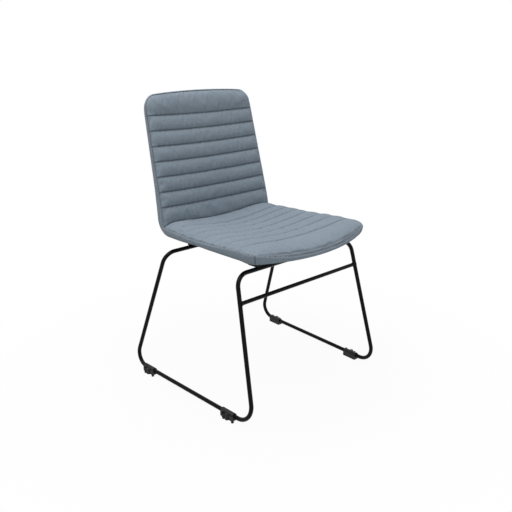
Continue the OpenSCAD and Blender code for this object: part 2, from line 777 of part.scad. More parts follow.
// Boxing bands close the edge between the quilted covers and the rear cover. Each ring runs
// from the upper seam over a swell to the lower seam and back inside.
function ring(v, u, inward) =
    let (a = from_seat(v, u, quilt_t + seat_gap),
        b = from_outside(v, u, rear_cover_t + seat_gap),
        c = (a + b) / 2)
    [a, c - inward * boxing_puff, b, b + inward * boxing_t, c + inward * boxing_t, a + inward * boxing_t];

// Inward directions at the left side edge and along the front and top edges
function side_inward(v) = v < 1
    ? [corner_sin(seat_corner_r, front_turn, v * seat_depth),
        corner_cos(seat_corner_r, front_turn, v * seat_depth), 0]
    : let (k = corner_cos(back_corner_r, top_turn, (2 - v) * back_length))
        [corner_sin(back_corner_r, top_turn, (2 - v) * back_length), -k * back_dir[0], -k * back_dir[1]];
function front_inward(u) = unit([-2 * front_bow * u / half_width(0), 1, 0]);
function top_inward(u) = unit([-2 * top_bow * u / half_width(2), -back_dir[0], -back_dir[1]]);

module side_boxing() {
    band([for (v = cover_rows) ring(v, -1, side_inward(v))]);
}

module left_boxing() {
    color("#7b8996")
        side_boxing();
}

module right_boxing() {
    color("#7b8996")
        mirror([1, 0, 0])
            side_boxing();
}

// The front and top bands stop one clearance short of the side bands
module front_boxing() {
    g = 1 - seat_gap / half_width(0);
    color("#75838f")
        band([for (u = across) ring(0, -u * g, front_inward(-u))]);
}

module top_boxing() {
    g = 1 - seat_gap / half_width(2);
    color("#7b8996")
        band([for (u = across) ring(2, u * g, top_inward(u))]);
}

// A glide in its own frame: x is outboard, y runs along the rod towards the post, and the
// floor is at z = 0
saddle_r = rod_r + glide_wall;
post_y = glide_l / 2 + post_d * post_along_share;
post_x = saddle_r + post_d * post_out_share;
lug_y = glide_l * lug_along_share;
lug_x = saddle_r + lug_d * lug_out_share;
socket_y = -glide_l * socket_along_share;
socket_x = saddle_r + socket_d * socket_out_share;
web_t = glide_wall;
web_z = lug_h * web_height_share;
slot_w = socket_bore * slot_share;
lug_foot = sole_t * lug_foot_share;

module glide() {
    difference() {
        union() {
            translate([0, glide_l / 2, 0])
                rotate([90, 0, 0])
                    linear_extrude(height = glide_l)
                        union() {
                            translate([-saddle_r, sole_t + seat_gap])
                                square([2 * saddle_r, runner_h - sole_t - seat_gap]);
                            translate([0, runner_h])
                                circle(r = saddle_r);
                        }
            translate([post_x, post_y, lug_foot]) {
                cylinder(h = lug_h - lug_foot - post_d / 2, d = post_d);
                translate([0, 0, lug_h - lug_foot - post_d / 2])
                    sphere(d = post_d);
            }
            translate([saddle_r - web_t, socket_y, web_z])
                cube([web_t + post_x - saddle_r, post_y - socket_y, lug_h - web_z - web_t]);
            translate([lug_x, lug_y, lug_foot])
                cylinder(h = lug_h - lug_foot, d = lug_d);
            translate([socket_x, socket_y, lug_foot])
                cylinder(h = lug_h - lug_foot - web_t, d = socket_d);
        }
        translate([0, (glide_l + post_d) / 2 + cut_over, runner_h])
            rotate([90, 0, 0])
                cylinder(h = glide_l + post_d + 2 * cut_over, d = rod_d + seat_gap);
        translate([-rod_r, -glide_l / 2 - cut_over, -cut_over])
            cube([rod_d, glide_l + 2 * cut_over, runner_h + cut_over]);
        translate([-saddle_r - seat_gap, -glide_l / 2 - cut_over, -cut_over])
            cube([2 * (saddle_r + seat_gap), glide_l + 2 * cut_over, cut_over + sole_t + seat_gap / 2]);
        translate([socket_x, socket_y, -cut_over])
            cylinder(h = lug_h + 2 * cut_over, d = socket_bore);
        translate([socket_x, socket_y - slot_w, -cut_over])
            cube([socket_d, slot_w, lug_h + 2 * cut_over]);
    }
}

// The sole closes the saddle from below and stands on the floor
module sole() {
    difference() {
        union() {
            translate([-saddle_r, -glide_l / 2, 0])
                cube([2 * saddle_r, glide_l, sole_t]);
            translate([-rod_r + bore_gap, -glide_l / 2, sole_t])
                cube([rod_d - 2 * bore_gap, glide_l, runner_h - sole_t]);
        }
        translate([0, glide_l / 2 + cut_over, runner_h])
            rotate([90, 0, 0])
                cylinder(h = glide_l + 2 * cut_over, d = rod_d + seat_gap);
        translate([0, 0, -cut_over])
            cylinder(h = runner_h, d = screw_d + bore_gap);
        translate([0, 0, -cut_over])
            cylinder(h = cut_over + sole_t * screw_sink_share, d = screw_d * 2 + bore_gap);
    }
}

screw_tip = runner_h - rod_d * screw_tip_share;

module sole_screw() {
    foot = sole_t * screw_sink_share - screw_d * screw_head_share - seat_gap;
    translate([0, 0, foot + screw_d * screw_head_share])
        cylinder(h = screw_tip - foot - screw_d * screw_head_share, d = screw_d);
    translate([0, 0, foot])
        cylinder(h = screw_d * screw_head_share, d = screw_d * 2);
}

// The four places of the glides: those of the left side are turned half round
module at_glide(side, y) {
    translate([side * runner_x(y), y, 0])
        rotate([0, 0, side > 0 ? -runner_yaw : 180 + runner_yaw])
            children();
}

glide_sides = [-1, 1];
glide_rows = [-front_glide_y, rear_glide_y];

module left_front_glide() {
    color("#1f2022")
        at_glide(-1, -front_glide_y)
            glide();
}

module left_rear_glide() {
    color("#1f2022")
        at_glide(-1, rear_glide_y)
            glide();
}

module right_front_glide() {
    color("#1f2022")
        at_glide(1, -front_glide_y)
            glide();
}

module right_rear_glide() {
    color("#1f2022")
        at_glide(1, rear_glide_y)
            glide();
}

module glide_soles() {
    color("#2b2c2f")
        for (side = glide_sides, y = glide_rows)
            at_glide(side, y)
                sole();
}

module glide_screws() {
    color("#c9ccd0")
        for (side = glide_sides, y = glide_rows)
            at_glide(side, y)
                sole_screw();
}

left_sled_rod();
right_sled_rod();
crossbar_butt_welds();
front_brace();
brace_welds();
front_mounting_tabs();
rear_mounting_tabs();
tab_welds();
shell_bolts();
shell_washers();
tee_nuts();
plywood_shell();
seat_foam();
back_foam();
quilted_seat_cover();
quilted_back_cover();
rear_cover();
left_boxing();
right_boxing();
front_boxing();
top_boxing();
left_front_glide();
left_rear_glide();
right_front_glide();
right_rear_glide();
glide_soles();
glide_screws();
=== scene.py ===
import math

import bmesh
import bpy
from mathutils import Matrix, Vector


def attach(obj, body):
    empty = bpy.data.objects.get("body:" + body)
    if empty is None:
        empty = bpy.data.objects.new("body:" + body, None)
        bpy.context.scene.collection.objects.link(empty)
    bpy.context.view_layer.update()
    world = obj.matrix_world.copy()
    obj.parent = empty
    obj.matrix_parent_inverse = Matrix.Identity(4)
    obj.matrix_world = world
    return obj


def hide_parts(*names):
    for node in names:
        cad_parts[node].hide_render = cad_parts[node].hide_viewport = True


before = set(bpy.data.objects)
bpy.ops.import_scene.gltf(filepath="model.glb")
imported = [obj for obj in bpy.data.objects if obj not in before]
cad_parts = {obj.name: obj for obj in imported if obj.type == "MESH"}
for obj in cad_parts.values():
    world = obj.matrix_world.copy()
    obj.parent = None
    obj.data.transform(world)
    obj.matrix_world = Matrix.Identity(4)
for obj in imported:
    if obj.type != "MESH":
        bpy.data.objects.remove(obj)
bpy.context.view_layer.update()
scene = bpy.context.scene
print("frame loaded:", len(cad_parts), "nodes")

# the camera of the photo: degrees, metres, and millimetres for the lens and the film
view = {"azimuth": -43.0, "elevation": 18.3, "distance": 1.874, "aimHeight": 0.42,
        "right": -0.00235, "up": -0.0531, "lens": 44.37, "film": 36}

turn, tip = math.radians(view["azimuth"]), math.radians(view["elevation"])
towardsCamera = Vector((math.sin(turn) * math.cos(tip), -math.cos(turn) * math.cos(tip), math.sin(tip)))
cameraRight = Vector((math.cos(turn), math.sin(turn), 0))
cameraUp = towardsCamera.cross(cameraRight)
cameraSpot = (Vector((0, 0, view["aimHeight"])) + towardsCamera * view["distance"]
              + cameraRight * view["right"] + cameraUp * view["up"])
cameraData = bpy.data.cameras.new("camera")
cameraData.lens = view["lens"]
cameraData.sensor_width = view["film"]
camera = bpy.data.objects.new("camera", cameraData)
cameraTurn = Matrix((cameraRight, cameraUp, towardsCamera)).transposed().to_4x4()
camera.matrix_world = Matrix.Translation(cameraSpot) @ cameraTurn
scene.collection.objects.link(camera)
scene.camera = camera
scene.view_settings.view_transform = "Standard"


class Field:
    # one socket of a material, so that patterns are combined as plain maths
    def __init__(self, finish, socket):
        self.finish = finish
        self.socket = socket

    def maths(self, operation, *others):
        sockets = dict(enumerate((self,) + others))
        return self.finish.node("ShaderNodeMath", {"operation": operation}, sockets)

    def __add__(self, other):
        return self.maths("ADD", other)

    def __sub__(self, other):
        return self.maths("SUBTRACT", other)

    def __rsub__(self, other):
        return self.finish.node("ShaderNodeMath", {"operation": "SUBTRACT"}, {0: other, 1: self})

    def __mul__(self, other):
        return self.maths("MULTIPLY", other)

    def __truediv__(self, other):
        return self.maths("DIVIDE", other)

    __radd__ = __add__
    __rmul__ = __mul__

    def clipped(self):
        return self.maths("MAXIMUM", 0.0).maths("MINIMUM", 1.0)

    def output(self, key):
        return Field(self.finish, socketOf(self.socket.node.outputs, key))


def socketOf(sockets, key):
    if isinstance(key, int):
        return sockets[key]
    for socket in sockets:
        if socket.identifier == key:
            return socket
    return sockets[key]


class Finish:
    # a material, or the world, and its nodes
    def __init__(self, name, owner=None):
        self.made = owner or bpy.data.materials.new(name)
        self.made.use_nodes = True
        self.tree = self.made.node_tree
        self.tree.nodes.clear()

    def node(self, kind, settings, sockets, output=0):
        new = self.tree.nodes.new(kind)
        for key, value in settings.items():
            setattr(new, key, value)
        for key, value in sockets.items():
            socket = socketOf(new.inputs, key)
            if isinstance(value, Field):
                self.tree.links.new(value.socket, socket)
            elif isinstance(value, tuple) and socket.type == "RGBA":
                socket.default_value = (*value, 1)
            else:
                socket.default_value = value
        return Field(self, socketOf(new.outputs, output)) if len(new.outputs) else new

    def place(self):
        return self.node("ShaderNodeTexCoord", {}, {}, "Object")

    def noise(self, where, scale, detail=2.0, rough=0.5):
        return self.node("ShaderNodeTexNoise", {},
                         {"Vector": where, "Scale": scale, "Detail": detail, "Roughness": rough})

    def blend(self, share, first, second):
        return self.node("ShaderNodeMix", {"data_type": "RGBA"},
                         {"Factor_Float": share, "A_Color": first, "B_Color": second}, "Result_Color")

    def bump(self, height, strength, distance):
        return self.node("ShaderNodeBump", {},
                         {"Height": height, "Strength": strength, "Distance": distance}, "Normal")

    def whiteRays(self):
        # the rays that see a white backdrop: the camera's own, mirrored ones and those through glass
        path = self.node("ShaderNodeLightPath", {}, {}, "Is Camera Ray")
        return (path + path.output("Is Glossy Ray") + path.output("Is Transmission Ray")).clipped()

    def surface(self, sockets):
        shader = self.node("ShaderNodeBsdfPrincipled", {}, sockets, "BSDF")
        self.node("ShaderNodeOutputMaterial", {}, {"Surface": shader})
        return self.made


# the world and the floor: how strong, how wide in metres, and how white near the chair and further away
studio = {"worldStrength": 0.26, "floorColour": (0.6, 0.6, 0.6), "floorSize": 30,
          "whiteNear": 0.955, "whiteFrom": 0.35, "whiteOver": 0.6}
# each lamp: place, height of its aim over the origin, size in metres, and power in watts
lamps = {"overhead": ((-0.65, 0.1, 3.2), 0.4, (3.1, 2.9), 85.0),
         "frontFill": ((0.3, -2.6, 1.4), 0.5, (1.6, 1.4), 10.0),
         "sparkle": ((-1.6, -1.2, 2.0), 0.3, (0.25, 0.25), 4.0)}

world = bpy.data.worlds.new("studio")
scene.world = world
air = Finish("studio", world)
dim = air.node("ShaderNodeBackground", {}, {"Color": (1, 1, 1), "Strength": studio["worldStrength"]})
bright = air.node("ShaderNodeBackground", {}, {"Color": (1, 1, 1), "Strength": 1.0})
backdrop = air.node("ShaderNodeMixShader", {}, {0: air.whiteRays(), 1: dim, 2: bright})
air.node("ShaderNodeOutputWorld", {}, {"Surface": backdrop})

floorMesh = bmesh.new()
bmesh.ops.create_grid(floorMesh, x_segments=1, y_segments=1, size=studio["floorSize"])
floorData = bpy.data.meshes.new("floor")
floorMesh.to_mesh(floorData)
floorMesh.free()
floor = bpy.data.objects.new("floor", floorData)
scene.collection.objects.link(floor)
paper = Finish("paperFloor")
away = paper.node("ShaderNodeVectorMath", {"operation": "LENGTH"}, {0: paper.place()}, "Value")
whiter = ((away - studio["whiteFrom"]) / studio["whiteOver"]).clipped()
white = studio["whiteNear"] + whiter * (1 - studio["whiteNear"])
lit = paper.node("ShaderNodeBsdfDiffuse", {}, {"Color": studio["floorColour"]})
glow = paper.node("ShaderNodeEmission", {}, {"Color": (1, 1, 1), "Strength": 1.0})
paperMix = paper.node("ShaderNodeMixShader", {}, {0: paper.whiteRays() * white, 1: lit, 2: glow})
paper.node("ShaderNodeOutputMaterial", {}, {"Surface": paperMix})
floorData.materials.append(paper.made)


def softbox(name, spot, aim, size, power):
    lamp = bpy.data.lights.new(name, "AREA")
    lamp.shape = "RECTANGLE"
    lamp.size, lamp.size_y = size
    lamp.energy = power
    box = bpy.data.objects.new(name, lamp)
    box.location = spot
    box.rotation_euler = (Vector(aim) - Vector(spot)).to_track_quat("-Z", "Y").to_euler()
    scene.collection.objects.link(box)


for name, (spot, aimHeight, size, power) in lamps.items():
    softbox(name, spot, (0, 0, aimHeight), size, power)
print("camera, light and floor done")

# shape of the upholstered shell, with the sizes of the part in millimetres
shell = {"frontHeight": 470, "fall": 3, "depth": 399, "creaseY": 167,
         "frontWidth": 453, "creaseWidth": 421, "widthPower": 2.5, "frontBow": 35, "seatCorner": 38,
         "dish": 18, "noseDrop": 5, "crown": 15, "crownPower": 8, "seatEdge": 26,
         "edgeSag": 7.5, "bendSag": 7, "sagPower": 4, "straightShare": 0.4,
         "rimRoll": 9, "rimOut": 0.5, "seamSag": 3, "noseRoll": 13, "noseRollPower": 3, "noseReach": 17,
         "backLength": 371, "lean": 13.7, "topWidth": 390, "topBow": 6, "backCorner": 36,
         "dishTop": 3, "dishLow": 20, "dishPower": 3, "backCrown": 5,
         "edgeTop": 15, "edgeLow": 26, "body": 10, "bellyTaper": 0.17, "bend": 46,
         "seams": 7, "seatSeamFirst": 53, "seatSeamLast": 62, "seamGrowth": 0.115,
         "backSeamFirst": 49, "backSeamLast": 57, "channelPuff": 4.5, "panelPuff": 7,
         "underside": 409.964, "undersideSlope": 0.0311245, "flat": 0.65,
         "undercut": 6, "undercutShare": 0.5,
         "plywood": 8, "rearCover": 1.8, "boxing": 2.6, "gap": 0.2}

depth, backLength = shell["depth"], shell["backLength"]
leanSin, leanCos = math.sin(math.radians(shell["lean"])), math.cos(math.radians(shell["lean"]))
creasePoint = Vector((shell["creaseY"], shell["frontHeight"] - shell["fall"]))
frontPoint = Vector((shell["creaseY"] - depth, shell["frontHeight"]))
backUp, backOut = Vector((leanSin, leanCos)), Vector((leanCos, -leanSin))
seatForward = (frontPoint - creasePoint).normalized()


def mix(a, b, k):
    return a + (b - a) * k


def ease(k):
    k = max(0.0, min(1.0, k))
    return k * k * (3 - 2 * k)


def hump(distance, width):
    return math.exp(-(distance / width) ** 2)


def crossed(a, b):
    return a[0] * b[1] - a[1] * b[0]


# lines under the seat and behind the back, and the bend between them
outerUp = (backUp - backOut * (shell["edgeLow"] - shell["edgeTop"]) / backLength).normalized()
underCrease = creasePoint - Vector((0, shell["seatEdge"]))
behindCrease = creasePoint + backOut * shell["edgeLow"]
reach = crossed(underCrease - behindCrease, seatForward) / crossed(outerUp, seatForward)
outerCorner = behindCrease + outerUp * reach
halfBend = math.acos(seatForward.dot(outerUp)) / 2
bendStart = outerCorner + seatForward * shell["bend"] / math.tan(halfBend)
bendEnd = outerCorner + outerUp * shell["bend"] / math.tan(halfBend)
bendCentre = outerCorner + (seatForward + outerUp).normalized() * shell["bend"] / math.sin(halfBend)
seatBend = 1 - (shell["creaseY"] - bendStart[0]) / depth
backBend = 1 + (bendEnd - creasePoint).dot(backUp) / backLength

steps = [i / (shell["seams"] - 1) for i in range(shell["seams"])]
seatSpread = [k + shell["seamGrowth"] * k * (1 - k) for k in steps]
seatSeams = [mix(shell["seatSeamLast"], depth - shell["seatSeamFirst"], k) / depth for k in seatSpread]
backSeams = [1 + mix(shell["backSeamFirst"], backLength - shell["backSeamLast"], k) / backLength
             for k in steps]
seatLines, backLines = [0] + seatSeams + [1], [1] + backSeams + [2]
frontTurn = math.atan(2 * shell["frontBow"]
                      / (shell["frontWidth"] / 2 - shell["seatCorner"] + shell["frontBow"] / 3))
topTurn = math.atan(2 * shell["topBow"] / (shell["topWidth"] / 2 - shell["backCorner"]))
lap = shell["boxing"] + 2 * shell["gap"]
innerFront = lap / math.cos(frontTurn) / depth
innerTop = 2 - lap / math.cos(topTurn) / backLength


def cornerCut(radius, turned, away):
    c = max(0.0, (radius * math.cos(turned) - away) / radius)
    return radius * (1 - math.sqrt(1 - c * c))


def halfWidth(v, inset=0):
    if v <= 1:
        width = mix(shell["frontWidth"], shell["creaseWidth"], v ** shell["widthPower"])
        away = v * depth - inset * math.cos(frontTurn)
        return width / 2 - inset - cornerCut(shell["seatCorner"] - inset, frontTurn, away)
    width = mix(shell["creaseWidth"], shell["topWidth"], v - 1)
    away = (2 - v) * backLength - inset * math.cos(topTurn)
    return width / 2 - inset - cornerCut(shell["backCorner"] - inset, topTurn, away)


# shares of the dish, from the front to the crease
dishShares = [(0, 0.6), (seatSeams[0], 0.3), (seatSeams[3], 0.78), (seatSeams[6], 1.0), (1, 0.72)]
# how far the side edges sag towards the crease, and swell out round the bend under it
edgeSagShares = [(0, 0), (0.25, 0), (0.5, 0.65), (0.7, 1), (1, 0.8)]
bendSagShares = [(0, 0), (0.55, 0), (0.85, 0.8), (1, 1), (1.15, 0.4), (1.3, 0), (2, 0)]
# how far the cloth rolls over the rim before its edge seam, in millimetres
rimDrops = [(0, 0), (0.12, 0), (0.35, 3.5), (1, 3.5), (1.06, 1), (1.2, 1.6), (1.6, 3), (2, 4)]
overCrease = 1.0001  # the back, just over the crease


def sharesAt(shares, v):
    for (a, low), (b, high) in zip(shares, shares[1:]):
        if v <= b:
            k = (v - a) / (b - a)
            return mix(low, high, mix(ease(k), k, shell["straightShare"]))
    return shares[-1][1]


def frontDrop(u):
    # the front panel rolls over the nose of the seat before its seam
    return shell["noseRoll"] * (1 - abs(u) ** shell["noseRollPower"])


def frontRoll(u, away):
    return frontDrop(u) * max(0, 1 - away / shell["noseReach"]) ** 2


def dishAt(v):
    if v > 1:
        return mix(shell["dishTop"], shell["dishLow"], (2 - v) ** shell["dishPower"])
    return shell["dish"] * sharesAt(dishShares, v)


def edgeSag(v, u):
    return shell["edgeSag"] * sharesAt(edgeSagShares, v) * abs(u) ** shell["sagPower"]


def crownAt(v):
    if v > 1:
        return shell["backCrown"]
    return shell["crown"] * math.sin(math.pi / 2 * min(1, v / seatSeams[0]))


def relief(v, u):
    return crownAt(v) * (1 - abs(u) ** shell["crownPower"]) - (dishAt(v) + crownAt(v)) * (1 - u * u)


def creaseShift(u):
    return (-relief(overCrease, u) + relief(1, u) * leanSin) / leanCos


def frontFade(v):
    return max(0, 1 - v / seatSeams[0])


def frontShift(v, u):
    return shell["frontBow"] * frontFade(v) * max(0, 1 - (u * halfWidth(v) / halfWidth(0)) ** 2)


def topShift(v, u):
    fade = max(0, (v - backSeams[-1]) / (2 - backSeams[-1]))
    return shell["topBow"] * fade * max(0, 1 - (u * halfWidth(v) / halfWidth(2)) ** 2)


def upper(v, u):
    # sitting surface at the level of its seams: v is 0 at the front, 1 at the crease and 2 at the top,
    # and u runs from side to side as -1 to 1
    if v <= 1:
        p = mix(frontPoint, creasePoint, v)
        fade = max(0, 1 - (1 - v) * depth / shell["seatSeamFirst"])
        nose = shell["noseDrop"] * u * u * frontFade(v) ** 2
        return Vector((u * halfWidth(v), p[0] - frontShift(v, u) + creaseShift(u) * fade,
                       p[1] + relief(v, u) - edgeSag(v, u) - nose))
    sag = shell["seamSag"] * (1 - u * u) * min(1, (v - 1) * backLength / shell["backSeamFirst"])
    sag *= min(1, (2 - v) * backLength / shell["backSeamLast"])
    p = creasePoint + backUp * ((v - 1) * backLength + topShift(v, u) - sag) - backOut * relief(v, u)
    low = 1 - min(1, (v - 1) * backLength / shell["backSeamFirst"])
    q = Vector((creaseShift(u), relief(1, u) - edgeSag(1, u))) + backOut * relief(overCrease, u)
    return Vector((u * halfWidth(v), p[0] + q[0] * low, p[1] + q[1] * low))


def outerEdge(v):
    # lower edge of the shell's side, and the direction that points outwards there
    down = Vector((0, -1))
    if v < seatBend:
        return mix(frontPoint + down * shell["seatEdge"], bendStart, v / seatBend), down
    if v > backBend:
        top = creasePoint + backUp * backLength + backOut * shell["edgeTop"]
        return mix(bendEnd, top, (v - backBend) / (2 - backBend)), backOut
    k = (v - seatBend) / (1 - seatBend) / 2 if v <= 1 else (1 + (v - 1) / (backBend - 1)) / 2
    ray = (mix(bendStart, bendEnd, k) - bendCentre).normalized()
    out = mix(down, backOut, (v - seatBend) / (backBend - seatBend)).normalized()
    return bendCentre + ray * shell["bend"], out


def seatBelly(v):
    edge = outerEdge(min(v, seatBend - 1e-6))[0]
    return edge[1] - shell["underside"] + edge[0] * shell["undersideSlope"]


def backBelly(v):
    return (dishAt(v) + shell["body"]) * math.sin(math.pi / 2 * min(1, (2 - v) / shell["bellyTaper"]))


def frontRise(v):
    return (1 - math.cos(math.pi * min(1, v / seatSeams[0]))) / 2


def bellyAt(v):
    if v <= seatBend:
        return seatBelly(v) * frontRise(v)
    if v >= backBend:
        return backBelly(v)
    return mix(seatBelly(seatBend), backBelly(backBend), (v - seatBend) / (backBend - seatBend))


def lower(v, u):
    # outside of the shell
    edge, out = outerEdge(v)
    flat = shell["flat"]
    side = 1 if abs(u) <= flat else (1 + math.cos(math.pi * (abs(u) - flat) / (1 - flat))) / 2
    hang = (1 - frontRise(v)) * (shell["noseDrop"] * u * u - relief(0, u))
    swell = shell["bendSag"] * sharesAt(bendSagShares, v)
    p = edge + out * (mix(swell, bellyAt(v), side) + hang) + backUp * topShift(v, u)
    inset = shell["undercut"] * max(0, 1 - v / shell["undercutShare"])
    tuck = shell["undercut"] * min(1, frontFade(v) / frontFade(innerFront))
    return Vector((u * (halfWidth(v) - inset), p[0] - frontShift(v, u) + tuck, p[1]))


def fromOutside(v, u, d):
    # a place d millimetres in from the outside of the shell
    a, b = lower(v, u), upper(v, u)
    return a + (b - a).normalized() * d


def fromSeat(v, u, d):
    # a place d millimetres below the sitting surface
    a, b = lower(v, u), upper(v, u)
    return b + (a - b).normalized() * d


def addPiece(name, bm, finish, replaced=(), levels=0):
    # the shape comes in millimetres and leaves in metres
    bmesh.ops.scale(bm, vec=(0.001, 0.001, 0.001), verts=bm.verts)
    for face in bm.faces:
        face.smooth = True
    data = bpy.data.meshes.new(name)
    bm.to_mesh(data)
    bm.free()
    data.materials.append(finish)
    piece = bpy.data.objects.new(name, data)
    scene.collection.objects.link(piece)
    if levels:
        subdivide = piece.modifiers.new("smooth", "SUBSURF")
        subdivide.levels = subdivide.render_levels = levels
    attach(piece, "root")
    if replaced:
        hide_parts(*replaced)
    print("piece", name, len(data.polygons), "faces")
    return piece


def clothGrid(along, across):
    # a grid whose vertices keep their place along and across the cloth
    bm = bmesh.new()
    bmesh.ops.create_grid(bm, x_segments=len(across) - 1, y_segments=len(along) - 1, size=1)
    alongLayer = bm.verts.layers.float.new("along")
    acrossLayer = bm.verts.layers.float.new("across")
    for vert in bm.verts:
        vert[acrossLayer] = across[round((vert.co.x + 1) / 2 * (len(across) - 1))]
        vert[alongLayer] = along[round((vert.co.y + 1) / 2 * (len(along) - 1))]
    return bm, alongLayer, acrossLayer


def layChart(bm, placeOf):
    # the weave's own map, in metres along the threads
    chart = bm.loops.layers.uv.new("cloth")
    for face in bm.faces:
        for loop in face.loops:
            x, y = placeOf(loop.vert)
            loop[chart].uv = (x / 1000, y / 1000)


def turnOut(bm, vert, out):
    # faces look the way that the cloth's right side does
    bm.normal_update()
    if vert.normal.dot(out) < 0:
        bmesh.ops.reverse_faces(bm, faces=bm.faces[:])


def closeSteps(start, end, count):
    # stations that draw together at both ends
    return [mix(start, end, (1 - math.cos(math.pi * i / count)) / 2) for i in range(count + 1)]


def evenSteps(start, end, count):
    return [mix(start, end, i / count) for i in range(count + 1)]


def acrossSteps(count, power=1):
    # stations from side to side that draw together at both sides
    half = [math.sin(math.pi / 2 * i / count) ** power for i in range(1, count + 1)]
    return [-u for u in reversed(half)] + [0] + half


def channelSteps(seams, count):
    # one run of stations from each seam to the next
    return [closeSteps(a, b, count) for a, b in zip(seams, seams[1:])]


def walkAlong(points):
    # how far each point lies along the line through them
    walked = [0]
    for a, b in zip(points, points[1:]):
        walked.append(walked[-1] + (b - a).length)
    return walked


def chain(*runs):
    # joins runs of stations that share their end values
    made = []
    for run in runs:
        made += run if not made else run[1:]
    return made


# woven wool: colours, pitch of the weave in metres, scales and shares of its speckles, and the dark colour
# and share of the painted shade in seams, grooves and gaps
cloth = {"light": (0.35, 0.42, 0.485), "dark": (0.11, 0.145, 0.18), "seam": (0.03, 0.04, 0.055),
         "lilac": (0.27, 0.29, 0.36), "weavePitch": 0.0016,
         "speckle": 480, "mottle": 120, "broad": 7.0, "lilacPatch": 70.0, "fuzz": 1500.0,
         "speckleShare": 0.95, "mottleShare": 0.2, "broadShare": 0.15, "threadShare": 0.25, "darker": 0.32,
         "lilacShare": 0.22, "seamShadeShare": 0.75, "roughness": 0.92}


def wovenFinish(name):
    # the threads follow the piece's own map, and the speckles its place
    made = Finish(name)
    where = made.place()
    threadMap = made.node("ShaderNodeUVMap", {"uv_map": "cloth"}, {})
    parts = made.node("ShaderNodeSeparateXYZ", {}, {0: threadMap})
    wave = math.pi / cloth["weavePitch"]
    warp = (parts * wave).maths("SINE")
    weft = (parts.output(1) * wave).maths("SINE")
    over = (warp * weft).maths("SIGN") * 0.5 + 0.5
    threads = warp.maths("ABSOLUTE") * over + weft.maths("ABSOLUTE") * (1 - over)
    speckle = made.noise(where, cloth["speckle"], 3.0, 0.7)
    mottle = made.noise(where, cloth["mottle"], 3.0, 0.6)
    broad = made.noise(where, cloth["broad"], 2.0)
    share = speckle * cloth["speckleShare"] + mottle * cloth["mottleShare"] + broad * cloth["broadShare"]
    share = (share + threads * cloth["threadShare"] - cloth["darker"]).clipped()
    lilac = (made.noise(where, cloth["lilacPatch"], 2.0) * 2.4 - 1.1).clipped() * cloth["lilacShare"]
    tone = made.blend(lilac, made.blend(share, cloth["dark"], cloth["light"]), cloth["lilac"])
    # painted shade: the seamShade attribute blends the cloth towards the dark seam colour in seams,
    # grooves, creases and gaps
    seam = made.node("ShaderNodeAttribute", {"attribute_name": "seamShade"}, {}, "Fac")
    colour = made.blend((seam * cloth["seamShadeShare"]).clipped(), tone, cloth["seam"])
    fuzz = made.noise(where, cloth["fuzz"], 2.0)
    height = threads * 0.7 + speckle * 0.5 + fuzz * 0.3
    return made.surface({"Base Color": colour, "Roughness": cloth["roughness"] - threads * 0.08,
                         "Normal": made.bump(height, 0.35, 0.0006),
                         "Specular IOR Level": 0.25, "Sheen Weight": 0.15, "Sheen Roughness": 0.5,
                         "Sheen Tint": (0.8, 0.86, 0.95)})


seatCloth = wovenFinish("seatCloth")
edgeCloth = wovenFinish("edgeCloth")
rearCloth = wovenFinish("rearCloth")

# sewing thread: its two colours, and the scale and the shadow of its twist
thread = {"channelColour": (0.11, 0.14, 0.175), "rimColour": (0.55, 0.57, 0.66),
          "twist": 900.0, "shadow": 0.7, "roughness": 0.55}


def threadFinish(name, colour):
    made = Finish(name)
    twist = made.node("ShaderNodeTexWave", {"wave_type": "BANDS", "bands_direction": "DIAGONAL"},
                      {"Vector": made.place(), "Scale": thread["twist"], "Distortion": 0.5}, 1)
    shade = made.blend(twist, tuple(c * thread["shadow"] for c in colour), colour)
    return made.surface({"Base Color": shade, "Roughness": thread["roughness"],
                         "Normal": made.bump(twist, 0.3, 0.0002), "Sheen Weight": 0.2})


seamThread = threadFinish("seamThread", thread["channelColour"])
edgeThread = threadFinish("edgeThread", thread["rimColour"])

# black powder coat: its colour, and scales and shares of the clouds, the dust and the orange peel
coat = {"black": (0.003, 0.0032, 0.0038), "cloud": 18.0, "cloudShare": 0.1, "dust": 240.0, "dustFrom": 0.6,
        "dustGain": 2.0, "dustShare": 0.2, "peel": 0.1, "shine": 0.09}


def powderCoat(name, colour, roughness, grain):
    made = Finish(name)
    where = made.place()
    peel = made.noise(where, grain, 2.0)
    cloud = made.noise(where, coat["cloud"], 3.0)
    dust = made.noise(where, coat["dust"], 4.0, 0.7) - coat["dustFrom"]
    dust = dust.maths("MAXIMUM", 0.0) * coat["dustGain"]
    shade = made.blend(dust.clipped() * coat["dustShare"], colour, tuple(c * 3 + 0.01 for c in colour))
    rough = roughness + cloud * coat["cloudShare"] - coat["cloudShare"] / 2 + dust * 0.1
    return made.surface({"Base Color": shade, "Roughness": rough,
                         "Normal": made.bump(peel, coat["peel"], 0.0003),
                         "Specular IOR Level": coat["shine"]})


# zinc plate on the washers, the tee nuts and the screws
zinc = {"colour": (0.62, 0.63, 0.65), "shadow": 0.75, "cloud": 90.0, "brushed": 900.0, "roughness": 0.22}


def platedFinish(name):
    made = Finish(name)
    where = made.place()
    cloud = made.noise(where, zinc["cloud"], 4.0, 0.6)
    brushed = made.noise(where, zinc["brushed"], 2.0)
    shade = made.blend(cloud, tuple(c * zinc["shadow"] for c in zinc["colour"]), zinc["colour"])
    return made.surface({"Base Color": shade, "Metallic": 1.0, "Roughness": zinc["roughness"] + cloud * 0.2,
                         "Normal": made.bump(brushed, 0.15, 0.0002)})


# moulded black nylon of the glides, with scuffs
nylon = {"colour": (0.006, 0.006, 0.0065), "sparked": 1400.0, "scuff": 130.0, "scuffFrom": 0.6,
         "scuffGain": 2.5, "scuffShare": 0.4, "roughness": 0.42, "shine": 0.3}


